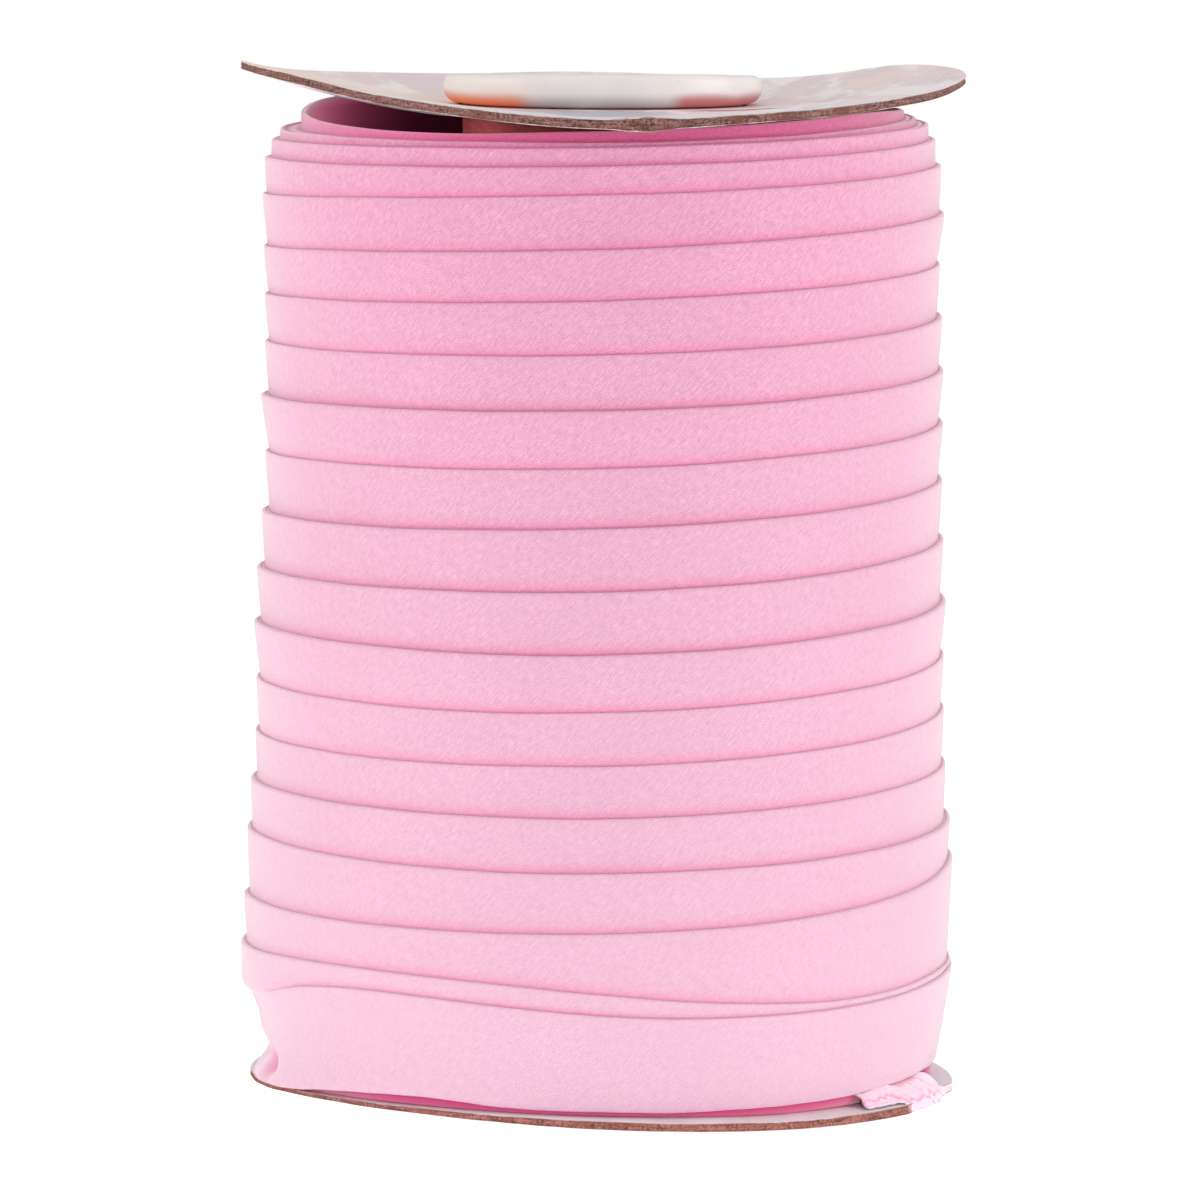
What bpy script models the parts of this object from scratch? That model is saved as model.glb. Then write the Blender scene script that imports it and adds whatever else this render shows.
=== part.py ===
"""Roll of bias binding: cotton tape wound in overlapping turns on a card reel.

Metres, +Z up. The reel stands on the curled lower end of its tube, and the
origin is on the surface under its axis. The front looks along -Y, and the
tape's loose end lies on the lower flange, at the right of the front.
"""

import math

import bmesh
import bpy

MM = 0.001
GAP = 0.3 * MM

# Card tube, with its ends curled outward over the flanges
TUBE_BORE_RADIUS = 25.0 * MM
TUBE_RADIUS = 27.0 * MM
CURL_RADIUS = 30.7 * MM
TOP_CURL_HEIGHT = 5.0 * MM
FOOT_CURL_HEIGHT = 5.6 * MM
FOOT_FLAT_HALF_ANGLE = 25.0
TUBE_STEPS = 48
CURL_STEP_ANGLE = 25.0

# Flanges, two discs of grey board that have warped
FLANGE_THICKNESS = 2.0 * MM
REEL_SPAN = 189.1 * MM
TOP_FLANGE_RADIUS = 70.0 * MM
BOTTOM_FLANGE_RADIUS = 68.8 * MM
BOTTOM_FLANGE_SHIFT = 0.5 * MM
FLANGE_HOLE_RADIUS = 27.9 * MM
WARP_START_RADIUS = 31.0 * MM
WARP_POWER = 1.4
FLANGE_RING_SHARES = (0.0, 0.12, 0.34, 0.56, 0.77, 0.92, 1.0)
FLANGE_STEPS = 60
DENT_FADE_POWER = 3.0

# Rim lift of each flange in millimetres, every 30 degrees from the right side round to the back
TOP_RIM_LIFT = (5.4, 5.8, 3.2, 3.5, 3.9, 5.7, 8.7, 7.5, 3.1, 0.0, 1.5, 3.2)
BOTTOM_RIM_LIFT = (-1.7, -1.0, -0.5, 0.0, 0.2, 0.3, 0.4, 1.5, 1.8, 0.3, -1.2, -1.7)
RIM_LIFT_SPACING = 30.0

# Dent in the lower rim where the tape's loose end hangs over it, and the crushed left corner
# place, half width and width of each sloping side, all in degrees, then depth in millimetres
BOTTOM_RIM_DENTS = (
    (342.0, 18.0, 6.0, 3.5),
    (190.0, 16.0, 12.0, 1.0),
)

# Each turn's upper edge, from the top down. A turn comes from the back to the right side, the front
# and the left side, sinking as it goes, and overlaps the lower half of the turn above it.
# The tuck is how far the tape leans in before the next turn covers it. All in millimetres.
# right height, front height, left height, right radius, left radius, tuck
TURNS = (
    (191.5, 189.3, 188.0, 62.9, 63.9, 0.0),
    (188.5, 186.0, 184.5, 64.3, 65.2, 0.0),
    (183.5, 180.5, 177.5, 65.5, 65.5, 0.6),
    (174.5, 170.5, 167.5, 66.1, 65.4, 1.0),
    (164.5, 161.0, 158.5, 65.4, 65.2, 0.5),
    (154.5, 151.0, 149.0, 65.9, 65.1, 0.7),
    (144.5, 141.0, 139.0, 66.3, 65.8, 1.1),
    (134.0, 130.0, 128.0, 66.3, 65.0, 0.9),
    (123.0, 118.5, 116.0, 66.2, 65.7, 0.6),
    (111.5, 107.0, 105.5, 66.6, 66.6, 0.8),
    (100.0, 95.0, 95.0, 67.1, 67.1, 1.0),
    (89.0, 84.5, 84.0, 66.9, 66.7, 0.5),
    (78.5, 74.5, 74.0, 67.0, 66.9, 0.4),
    (68.0, 64.5, 64.5, 67.4, 67.8, 0.3),
    (57.5, 54.5, 55.0, 68.4, 68.5, 0.5),
    (48.5, 43.0, 40.5, 68.9, 69.1, 0.6),
    (24.0, 32.0, 33.5, 68.5, 69.6, 0.5),
)
FIRST_TURN_HEIGHT = 191.9 * MM
FIRST_TURN_RADIUS = 62.0 * MM
LAST_TURN_HEIGHT = 29.4 * MM
LAST_TURN_RADIUS = 69.2 * MM
LIP_RISE = 0.25 * MM
LEAST_STEP = 0.9 * MM
WINDING_STEPS = 64

# Level rings of the winding at its two ends, in millimetres
# name: heights at the right, front, left and back, then radii at the same places
RINGS = {
    "standing rim": ((194.0, 191.9, 192.6, 193.8), (58.2, 58.2, 58.1, 58.0)),
    "second rim": ((192.6, 190.3, 190.2, 192.9), (60.5, 61.6, 62.3, 61.0)),
    "last edge": ((27.5, 27.7, 29.5, 28.5), (69.0, 69.0, 69.2, 69.1)),
    "upper belly": ((21.5, 21.5, 23.2, 22.3), (68.0, 68.1, 68.1, 68.0)),
    "lower belly": ((15.5, 15.2, 16.6, 16.0), (67.1, 66.9, 65.9, 66.7)),
    "last foot": ((9.1, 8.6, 10.5, 9.7), (66.0, 65.0, 63.4, 65.0)),
}
RIM_WALL = 1.8 * MM
RIM_EASE = 0.5 * MM
HOLLOW_RADIUS = 54.5 * MM
HOLLOW_HEIGHT = 182.0 * MM
HOLLOW_CENTRE_HEIGHT = 180.0 * MM
UNDERSIDE_INSET = 4.5 * MM
UNDERSIDE_HEIGHT = 8.4 * MM

# Loose end of the tape, lying on the lower flange and hanging over its dented rim
END_THICKNESS = 1.2 * MM
END_INNER_RADIUS = 60.5 * MM
END_OUTER_RADIUS = 68.5 * MM
END_BEND_RADIUS = 1.3 * MM
END_DROP = 1.9 * MM
END_FIRST_ANGLE = 318.0
END_LAST_ANGLE = 351.0
END_SLANT_ANGLE = 3.5
END_HANG_START = 327.0
END_HANG_FULL = 333.0
END_CRUMPLE = 0.7 * MM
END_FOLD_COUNT = 3.1
END_FOLD_SLANT = 4.0
END_SHOWN_FROM = 0.35
END_SHOWN_BY = 0.6
END_STEPS_ALONG = 18
END_STEPS_ACROSS = 10

SHARP_ANGLE = 40.0
MERGE_DISTANCE = 0.01 * MM

TAPE_COLOUR = (0.88, 0.46, 0.62, 1.0)
BOARD_COLOUR = (0.36, 0.25, 0.20, 1.0)
TUBE_COLOUR = (0.86, 0.85, 0.83, 1.0)

BOTTOM_FLANGE_BASE = FOOT_CURL_HEIGHT * (1.0 + math.cos(math.radians(FOOT_FLAT_HALF_ANGLE))) / 2.0 + GAP
TOP_FLANGE_BASE = BOTTOM_FLANGE_BASE + REEL_SPAN - FLANGE_THICKNESS


def clear_scene():
    for old_object in list(bpy.data.objects):
        bpy.data.objects.remove(old_object, do_unlink=True)


def make_material(name, colour, roughness):
    material = bpy.data.materials.new(name)
    material.use_nodes = True
    shader = material.node_tree.nodes["Principled BSDF"]
    shader.inputs["Base Color"].default_value = colour
    shader.inputs["Roughness"].default_value = roughness
    shader.inputs["Metallic"].default_value = 0.0
    material.diffuse_color = colour
    return material


def add_object(name, mesh, material, collection):
    mesh.materials.clear()
    mesh.materials.append(material)
    new_object = bpy.data.objects.new(name, mesh)
    collection.objects.link(new_object)
    return new_object


def on_circle(radius, angle, height):
    """Point at an angle in degrees, counter-clockwise from the right side."""
    turn = math.radians(angle)
    return (radius * math.cos(turn), radius * math.sin(turn), height)


def smooth_through(knots, place):
    """Value at a place on a smooth curve through (place, value) knots that may be uneven."""
    last = len(knots) - 1
    index = 0
    while index < last - 1 and knots[index + 1][0] < place:
        index += 1

    def slope(number):
        before = knots[max(number - 1, 0)]
        after = knots[min(number + 1, last)]
        return (after[1] - before[1]) / (after[0] - before[0])

    start, end = knots[index], knots[index + 1]
    span = end[0] - start[0]
    share = (place - start[0]) / span
    square, cube = share ** 2, share ** 3
    return ((2 * cube - 3 * square + 1) * start[1] + (cube - 2 * square + share) * span * slope(index)
            + (3 * square - 2 * cube) * end[1] + (cube - square) * span * slope(index + 1))


def smooth_around(values, spacing, angle):
    """Value at an angle on a smooth closed curve through evenly spaced values."""
    count = len(values)
    knots = [(spacing * number, values[number % count]) for number in range(-2, count + 3)]
    return smooth_through(knots, angle % 360.0)


def turned_mesh(name, profile, steps):
    """Closed profile of (radius, height) points turned about Z by a Screw modifier."""
    mesh = bpy.data.meshes.new(name)
    edges = [(number, (number + 1) % len(profile)) for number in range(len(profile))]
    mesh.from_pydata([(radius, 0.0, height) for radius, height in profile], edges, [])
    profile_object = bpy.data.objects.new(name + "_profile", mesh)
    bpy.context.scene.collection.objects.link(profile_object)
    screw = profile_object.modifiers.new("Turn", "SCREW")
    screw.axis = "Z"
    screw.angle = math.tau
    screw.steps = steps
    screw.render_steps = steps
    screw.use_merge_vertices = True
    screw.merge_threshold = MERGE_DISTANCE
    screw.use_normal_calculate = False
    evaluated = profile_object.evaluated_get(bpy.context.evaluated_depsgraph_get())
    turned = bpy.data.meshes.new_from_object(evaluated)
    bpy.data.objects.remove(profile_object)
    return turned


def curl_points(centre_height, height, first_angle, last_angle):
    """Points on a curl's oval section, clockwise from one angle to the other in degrees."""
    centre_radius = (TUBE_BORE_RADIUS + CURL_RADIUS) / 2.0
    half_width = (CURL_RADIUS - TUBE_BORE_RADIUS) / 2.0
    count = max(1, round((first_angle - last_angle) / CURL_STEP_ANGLE))
    points = []
    for number in range(count + 1):
        angle = math.radians(first_angle + (last_angle - first_angle) * number / count)
        points.append((centre_radius + half_width * math.cos(angle),
                       centre_height + height / 2.0 * math.sin(angle)))
    return points


def build_tube(collection):
    centre_radius = (TUBE_BORE_RADIUS + CURL_RADIUS) / 2.0
    half_width = (CURL_RADIUS - TUBE_BORE_RADIUS) / 2.0
    wall_angle = math.degrees(math.acos((TUBE_RADIUS - centre_radius) / half_width))
    top_centre = TOP_FLANGE_BASE + FLANGE_THICKNESS + GAP + TOP_CURL_HEIGHT / 2.0
    foot_centre = FOOT_CURL_HEIGHT / 2.0 * math.cos(math.radians(FOOT_FLAT_HALF_ANGLE))
    profile = curl_points(top_centre, TOP_CURL_HEIGHT, 180.0, -wall_angle)
    profile += curl_points(foot_centre, FOOT_CURL_HEIGHT, wall_angle, FOOT_FLAT_HALF_ANGLE - 90.0)
    profile += curl_points(foot_centre, FOOT_CURL_HEIGHT, -90.0 - FOOT_FLAT_HALF_ANGLE, -180.0)
    mesh = turned_mesh("core_tube", profile, TUBE_STEPS)
    tube = add_object("core_tube", mesh, make_material("Curled card tube", TUBE_COLOUR, 0.35), collection)
    shade_round(tube)
    return tube


def warp_ramp(radius, rim_radius):
    """Share of the rim's lift that a flange has at a radius."""
    share = max(0.0, radius - WARP_START_RADIUS) / (rim_radius - WARP_START_RADIUS)
    return share ** WARP_POWER


def bottom_flange_top(radius, angle):
    """Height of the lower flange's upper face."""
    lift = smooth_around(BOTTOM_RIM_LIFT, RIM_LIFT_SPACING, angle) * MM
    return BOTTOM_FLANGE_BASE + FLANGE_THICKNESS + lift * warp_ramp(radius, BOTTOM_FLANGE_RADIUS)


def eased(share):
    """Rises smoothly from 0 to 1 as the share does."""
    share = min(1.0, max(0.0, share))
    return share * share * (3.0 - 2.0 * share)


def height_over_flange(radius, angle):
    """Lowest height just clear of the lower flange."""
    return bottom_flange_top(radius + BOTTOM_FLANGE_SHIFT, angle) + GAP


def dent_depth(dents, angle):
    depth = 0.0
    for centre, half_width, side, most in dents:
        off = abs((angle - centre + 180.0) % 360.0 - 180.0)
        depth += most * MM * eased((half_width - off) / side)
    return depth


def build_flange(name, base, rim_radius, rim_lift, dents, shift, material, collection):
    radii = [FLANGE_HOLE_RADIUS + share * (rim_radius - FLANGE_HOLE_RADIUS) for share in FLANGE_RING_SHARES]
    profile = [(radius, base + FLANGE_THICKNESS) for radius in radii]
    profile += [(radius, base) for radius in reversed(radii)]
    mesh = turned_mesh(name, profile, FLANGE_STEPS)
    for vertex in mesh.vertices:
        radius = math.hypot(vertex.co.x, vertex.co.y)
        angle = math.degrees(math.atan2(vertex.co.y, vertex.co.x))
        ramp = warp_ramp(radius, rim_radius)
        lift = smooth_around(rim_lift, RIM_LIFT_SPACING, angle) * MM * ramp
        worn = radius - dent_depth(dents, angle) * ramp ** DENT_FADE_POWER
        vertex.co = on_circle(worn, angle, vertex.co.z + lift)
        vertex.co.x += shift
    flange = add_object(name, mesh, material, collection)
    shade_round(flange)
    return flange


def shade_round(piece):
    piece.data.shade_smooth()
    piece.data.set_sharp_from_angle(angle=math.radians(SHARP_ANGLE))


class Winding:
    """The wound tape's outside, as a climbing edge with level rings at its two ends.

    Places on it are degrees turned since the start of the first turn at the back, clockwise from above.
    """

    def __init__(self):
        self.turn_count = len(TURNS)
        end = 360.0 * self.turn_count
        self.heights = [(0.0, FIRST_TURN_HEIGHT)]
        self.radii = [(0.0, FIRST_TURN_RADIUS)]
        self.tucks = []
        for number, turn in enumerate(TURNS):
            right, front, left, right_radius, left_radius, tuck = (value * MM for value in turn)
            start = 360.0 * number
            self.heights += [(start + 90.0, right), (start + 180.0, front), (start + 270.0, left)]
            front_radius = (right_radius + left_radius) / 2.0
            self.radii += [(start + 90.0, right_radius), (start + 180.0, front_radius),
                           (start + 270.0, left_radius)]
            self.tucks.append((start + 180.0, tuck))
        self.heights.append((end, LAST_TURN_HEIGHT))
        self.radii.append((end, LAST_TURN_RADIUS))

    def ring(self, name, turned):
        """Radius and height of a level ring."""
        heights, radii = RINGS[name]
        angle = 90.0 - turned
        order = (0, 3, 2, 1)
        height = smooth_around([heights[number] for number in order], 90.0, angle)
        radius = smooth_around([radii[number] for number in order], 90.0, angle)
        return radius * MM, height * MM

    def edge(self, turned):
        """Radius and height of the climbing edge, kept above the last edge that covers its end."""
        height = smooth_through(self.heights, turned)
        if turned > 360.0 * (self.turn_count - 2):
            height = max(height, self.ring("last edge", turned)[1] + LEAST_STEP)
        return smooth_through(self.radii, turned), height

    def edge_foot(self, turned):
        """Radius and height at which the next turn covers this one."""
        tuck = smooth_through(self.tucks, min(max(turned, self.tucks[0][0]), self.tucks[-1][0]))
        if turned > 360.0 * (self.turn_count - 1):
            next_height = self.ring("last edge", turned)[1]
        else:
            next_height = self.edge(turned + 360.0)[1]
        return self.edge(turned)[0] - tuck, next_height + LIP_RISE

    def upper_points(self, turned):
        """The rings above the first turn, inside out and down."""
        angle = 90.0 - turned
        rim_radius, rim_height = self.ring("standing rim", turned)
        second_radius, second_height = self.ring("second rim", turned)
        covered_by = self.edge(turned if turned > 0.0 else 360.0)[1]
        return [
            on_circle(TUBE_RADIUS + GAP, angle, HOLLOW_CENTRE_HEIGHT),
            on_circle(HOLLOW_RADIUS, angle, HOLLOW_HEIGHT),
            on_circle(rim_radius - RIM_WALL, angle, rim_height - RIM_EASE),
            on_circle(rim_radius, angle, rim_height),
            on_circle(rim_radius, angle, second_height + LIP_RISE),
            on_circle(second_radius, angle, second_height),
            on_circle(second_radius, angle, covered_by + LIP_RISE),
        ]

    def turn_points(self, number, turned):
        """The upper edge and the foot of one turn."""
        place = 360.0 * number + turned
        angle = 90.0 - turned
        radius, height = self.edge(place)
        foot_radius, foot_height = self.edge_foot(place)
        return [on_circle(radius, angle, height), on_circle(foot_radius, angle, foot_height)]

    def lower_points(self, turned):
        """The rings of the last turn, down and in to the bore."""
        angle = 90.0 - turned
        rings = [self.ring(name, turned) for name in ("last edge", "upper belly", "lower belly")]
        foot_radius, foot_height = self.ring("last foot", turned)
        inset_radius = foot_radius - UNDERSIDE_INSET
        rings.append((foot_radius, max(foot_height, height_over_flange(foot_radius, angle))))
        for radius in (inset_radius, (inset_radius + TUBE_RADIUS) / 2.0, TUBE_RADIUS + GAP):
            rings.append((radius, max(UNDERSIDE_HEIGHT, height_over_flange(radius, angle))))
        return [on_circle(radius, angle, height) for radius, height in rings]


def build_winding(collection):
    """Loft the winding between columns round the axis.

    The edge that leaves the last column is one turn lower than the edge that enters the first, so
    the first turn grows out of a point there and the last one runs out in a point.
    """
    winding = Winding()
    mesh = bmesh.new()
    columns = []
    for step in range(WINDING_STEPS):
        turned = 360.0 * step / WINDING_STEPS
        upper = [mesh.verts.new(point) for point in winding.upper_points(turned)]
        turns = []
        for number in range(winding.turn_count):
            if step == 0 and number == 0:
                turns.append([upper[-1], upper[-1]])
            else:
                turns.append([mesh.verts.new(point) for point in winding.turn_points(number, turned)])
        lower = [mesh.verts.new(point) for point in winding.lower_points(turned)]
        columns.append((upper, turns, lower))

    def all_points(column, shifted=False):
        upper, turns, lower = column
        if shifted:
            turns = turns[1:] + [[turns[-1][1], turns[-1][1]]]
        return upper + [vertex for turn in turns for vertex in turn] + lower

    for step in range(WINDING_STEPS):
        here = all_points(columns[step])
        closes = step == WINDING_STEPS - 1
        beside = all_points(columns[0], shifted=True) if closes else all_points(columns[step + 1])
        count = len(here)
        for row in range(count):
            below = (row + 1) % count
            corners = []
            for vertex in (here[row], here[below], beside[below], beside[row]):
                if vertex not in corners:
                    corners.append(vertex)
            if len(corners) > 2:
                mesh.faces.new(corners)
    bmesh.ops.recalc_face_normals(mesh, faces=mesh.faces)
    data = bpy.data.meshes.new("winding")
    mesh.to_mesh(data)
    mesh.free()
    material = make_material("Pink bias binding", TAPE_COLOUR, 0.85)
    return add_object("winding", data, material, collection)


def loose_end_point(along, across):
    """Middle of the loose end, at shares of its length and of its width from under the winding."""
    first = END_FIRST_ANGLE + END_SLANT_ANGLE * across
    angle = first + (END_LAST_ANGLE - first) * along
    flat_length = END_OUTER_RADIUS - END_BEND_RADIUS - END_INNER_RADIUS
    bend_length = END_BEND_RADIUS * math.pi / 2.0
    hang = eased((angle - END_HANG_START) / (END_HANG_FULL - END_HANG_START))
    distance = across * (flat_length + hang * (bend_length + END_DROP))
    radius = END_INNER_RADIUS + min(distance, flat_length)
    drop = 0.0
    if distance > flat_length:
        bend = min((distance - flat_length) / END_BEND_RADIUS, math.pi / 2.0)
        radius += END_BEND_RADIUS * math.sin(bend)
        drop = END_BEND_RADIUS * (1.0 - math.cos(bend))
        drop += max(0.0, distance - flat_length - bend_length)
    lying_radius = min(radius, END_OUTER_RADIUS - END_BEND_RADIUS)
    height = bottom_flange_top(lying_radius, angle) + GAP + END_THICKNESS / 2.0 - drop
    shown = eased((across - END_SHOWN_FROM) / (END_SHOWN_BY - END_SHOWN_FROM))
    folds = 0.5 + 0.5 * math.sin(END_FOLD_COUNT * math.tau * along + END_FOLD_SLANT * across)
    return on_circle(radius, angle, height + END_CRUMPLE * shown * folds)


def build_loose_end(collection):
    mesh = bmesh.new()
    bmesh.ops.create_grid(mesh, x_segments=END_STEPS_ALONG, y_segments=END_STEPS_ACROSS, size=0.5)
    for vertex in mesh.verts:
        vertex.co = loose_end_point(vertex.co.x + 0.5, vertex.co.y + 0.5)
    bmesh.ops.recalc_face_normals(mesh, faces=mesh.faces)
    data = bpy.data.meshes.new("loose_end")
    mesh.to_mesh(data)
    mesh.free()
    material = make_material("Pink binding end", TAPE_COLOUR, 0.85)
    loose_end = add_object("loose_end", data, material, collection)
    solidify = loose_end.modifiers.new("Thickness", "SOLIDIFY")
    solidify.thickness = END_THICKNESS
    solidify.offset = 0.0
    shade_round(loose_end)
    return loose_end


def main():
    clear_scene()
    collection = bpy.data.collections.new("Bias binding roll")
    bpy.context.scene.collection.children.link(collection)
    build_tube(collection)
    board = make_material("Grey board", BOARD_COLOUR, 0.8)
    build_flange("top_flange", TOP_FLANGE_BASE, TOP_FLANGE_RADIUS, TOP_RIM_LIFT, (), 0.0, board, collection)
    build_flange("bottom_flange", BOTTOM_FLANGE_BASE, BOTTOM_FLANGE_RADIUS, BOTTOM_RIM_LIFT,
                 BOTTOM_RIM_DENTS, BOTTOM_FLANGE_SHIFT, board, collection)
    build_winding(collection)
    build_loose_end(collection)


main()
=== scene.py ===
"""Looks of the roll of bias binding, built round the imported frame.

Metres, +Z up, and the front looks along -Y. An azimuth is in degrees counter-clockwise from the
right side. A place on the tape is in degrees turned clockwise, from the back of its first turn.
"""

import bisect
import math

import bmesh
import bpy
from mathutils import Matrix, Vector, noise


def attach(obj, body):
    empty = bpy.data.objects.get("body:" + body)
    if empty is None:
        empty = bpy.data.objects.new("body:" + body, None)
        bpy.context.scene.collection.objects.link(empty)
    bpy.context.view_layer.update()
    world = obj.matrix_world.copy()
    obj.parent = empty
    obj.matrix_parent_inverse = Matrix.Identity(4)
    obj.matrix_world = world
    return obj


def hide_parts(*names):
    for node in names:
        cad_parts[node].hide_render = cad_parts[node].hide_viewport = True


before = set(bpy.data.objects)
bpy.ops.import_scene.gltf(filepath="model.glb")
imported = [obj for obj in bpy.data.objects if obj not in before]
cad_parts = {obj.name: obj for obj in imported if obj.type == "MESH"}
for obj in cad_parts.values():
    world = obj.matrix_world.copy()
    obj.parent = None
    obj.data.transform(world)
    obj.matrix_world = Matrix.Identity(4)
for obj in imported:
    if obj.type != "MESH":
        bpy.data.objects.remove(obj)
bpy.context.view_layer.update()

MM = 0.001
GAP = 0.3 * MM

# Card tube
TUBE_BORE_RADIUS = 25.0 * MM
TUBE_RADIUS = 27.0 * MM
CURL_RADIUS = 30.7 * MM
TOP_CURL_HEIGHT = 5.4 * MM
FOOT_CURL_HEIGHT = 5.6 * MM
FOOT_FLAT_HALF_ANGLE = 25.0

# Flanges
FLANGE_THICKNESS = 2.0 * MM
REEL_SPAN = 189.1 * MM
TOP_FLANGE_RADIUS = 70.0 * MM
BOTTOM_FLANGE_RADIUS = 68.8 * MM
BOTTOM_FLANGE_SHIFT = 0.5 * MM
FLANGE_HOLE_RADIUS = 27.9 * MM
WARP_START_RADIUS = 31.0 * MM
WARP_POWER = 1.4
DENT_FADE_POWER = 3.0
TOP_RIM_LIFT = (7.0, 7.3, 3.3, 4.0, 3.9, 5.7, 8.7, 7.5, 3.1, 0.0, 1.5, 4.05)
BOTTOM_RIM_LIFT = (-2.6, -2.4, -0.9, 0.0, 0.1, -0.3, -0.9, 1.3, 1.6, 0.2, -1.25, -2.1)
RIM_LIFT_SPACING = 30.0
BOTTOM_RIM_DENTS = ((343.0, 14.0, 6.0, 1.8), (190.0, 16.0, 12.0, 1.0))
# How far the board's rim is pressed thinner, in millimetres, at the same spacing.
BOTTOM_RIM_PRESSED = (0.2, 0.0, 0.0, 0.0, 0.2, 0.5, 0.9, 1.15, 0.95, 0.45, 0.4, 0.2)
TOP_RIM_PRESSED = (0.8, 0.5, 0.2, 0.2, 0.2, 0.5, 0.7, 0.45, 0.35, 0.1, 0.3, 0.45)
BOTTOM_FLANGE_BASE = FOOT_CURL_HEIGHT * (1.0 + math.cos(math.radians(FOOT_FLAT_HALF_ANGLE))) / 2.0 + GAP
TOP_FLANGE_BASE = BOTTOM_FLANGE_BASE + REEL_SPAN - FLANGE_THICKNESS

# The tape's upper edge in millimetres, one row a turn: height at the right, front and left, then
# radius at the right and left, then how far the face leans in before the next turn covers it.
# The first two turns are the rims that stand at the top, and the last is the tape's full width.
TURNS = (
    (194.0, 191.9, 193.2, 58.2, 58.2, 0.0),
    (192.6, 189.9, 190.0, 60.5, 62.3, 0.0),
    (191.5, 189.1, 187.9, 62.9, 63.9, 0.0),
    (188.5, 185.6, 184.4, 64.3, 65.2, 0.0),
    (183.5, 180.35, 177.4, 65.5, 65.5, 0.6),
    (174.4, 170.3, 167.4, 66.1, 65.4, 1.0),
    (164.6, 160.7, 158.1, 65.4, 65.2, 0.5),
    (154.3, 150.6, 148.9, 65.9, 65.1, 0.7),
    (144.1, 140.3, 138.6, 66.3, 65.8, 1.1),
    (133.9, 129.55, 127.6, 66.3, 65.0, 0.9),
    (122.9, 118.25, 116.0, 66.2, 65.7, 0.6),
    (111.3, 106.5, 105.2, 66.6, 66.6, 0.8),
    (99.4, 94.75, 94.65, 67.1, 67.1, 1.0),
    (88.7, 83.95, 83.65, 66.9, 66.7, 0.5),
    (78.3, 73.9, 73.3, 67.0, 66.9, 0.4),
    (67.65, 64.15, 64.0, 67.4, 67.8, 0.3),
    (56.9, 53.9, 54.4, 68.4, 68.5, 0.5),
    (49.3, 42.55, 41.3, 68.9, 69.1, 0.6),
    (29.2, 31.25, 32.0, 68.7, 69.6, 0.5),
    (28.3, 27.35, 24.5, 69.0, 69.3, 0.0),
)
LAST_TURN = len(TURNS) - 1
# The edge where a turn starts, at the back: number of the turn, height and radius in millimetres.
BACK_PLACES = ((0, 194.0, 58.0), (1, 193.3, 59.6), (2, 191.9, 62.0), (19, 29.2, 69.1), (20, 26.4, 68.8))
# More heights of the edge, by number of the turn: degrees turned and millimetres up.
MORE_HEIGHTS = {
    0: ((120, 194.5), (150, 193.1), (210, 191.1), (235, 191.5), (300, 195.2)),
    17: ((123, 46.1), (147, 44.1), (212, 42.25)),
    18: ((104, 29.0), (112.5, 28.75), (124, 28.1), (136, 27.85), (147, 28.2), (164, 29.6), (195, 32.6),
         (212, 33.5), (235, 33.4), (250, 32.7)),
    19: ((104, 27.8), (113, 27.3), (124, 26.8), (136, 26.35), (147, 26.2), (164, 26.45), (195, 28.55),
         (212, 29.6), (223, 29.5), (234, 28.3), (240, 27.1), (247, 25.6)),
}
# Rings of the last turn below its edge: azimuth, height and radius in millimetres.
UPPER_BELLY = ((0, 21.5, 68.0), (90, 22.3, 68.0), (180, 23.2, 68.1), (270, 21.5, 68.1))
LOWER_BELLY = ((0, 15.5, 67.1), (90, 16.0, 66.7), (150, 16.4, 66.2), (180, 16.6, 65.9),
               (195, 16.4, 66.2), (210, 15.9, 67.7), (225, 15.6, 67.8), (245, 15.4, 67.3),
               (270, 15.2, 66.9), (315, 15.3, 67.0))
LAST_FOOT = ((0, 9.5, 66.0), (30, 9.4, 65.5), (60, 9.6, 65.2), (90, 9.7, 65.0), (120, 9.9, 64.5),
             (150, 10.2, 63.8), (174, 9.9, 64.0), (182, 8.4, 66.0), (186, 7.5, 67.1), (190, 7.1, 67.8),
             (194, 7.15, 68.3), (198, 7.35, 68.9), (203, 7.55, 69.3), (208, 7.75, 69.5),
             (214, 8.35, 69.5), (220, 9.1, 69.2), (228, 9.7, 68.3), (236, 10.1, 67.8),
             (245, 10.05, 67.4), (255, 9.15, 66.8), (270, 8.6, 65.7), (283, 8.1, 65.1),
             (296, 8.15, 65.0), (310, 8.25, 65.0), (328, 8.85, 65.3), (344, 9.4, 65.8))
# The last turn's waist and pinch at the lower left: azimuth, half angle, height, half height,
# depth and shade.
SQUEEZES = (
    (188.0, 10.0, 11.8 * MM, 2.3 * MM, 2.6 * MM, 0.0),
    (201.5, 2.6, 10.9 * MM, 1.8 * MM, 3.6 * MM, 0.7),
)

# Columns round the winding: where each run of them starts and ends in degrees turned, and how many.
COLUMN_RUNS = ((0.0, 228.0, 150), (228.0, 264.0, 50), (264.0, 360.0, 64))

# Each turn has a rounded lip at its upper edge, with a groove behind it.
LIP_THICKNESS = 0.8 * MM
LIP_LEAST = 0.35 * MM
LIP_STAND = 0.75 * MM
LIP_DROP = 0.34 * MM
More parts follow.
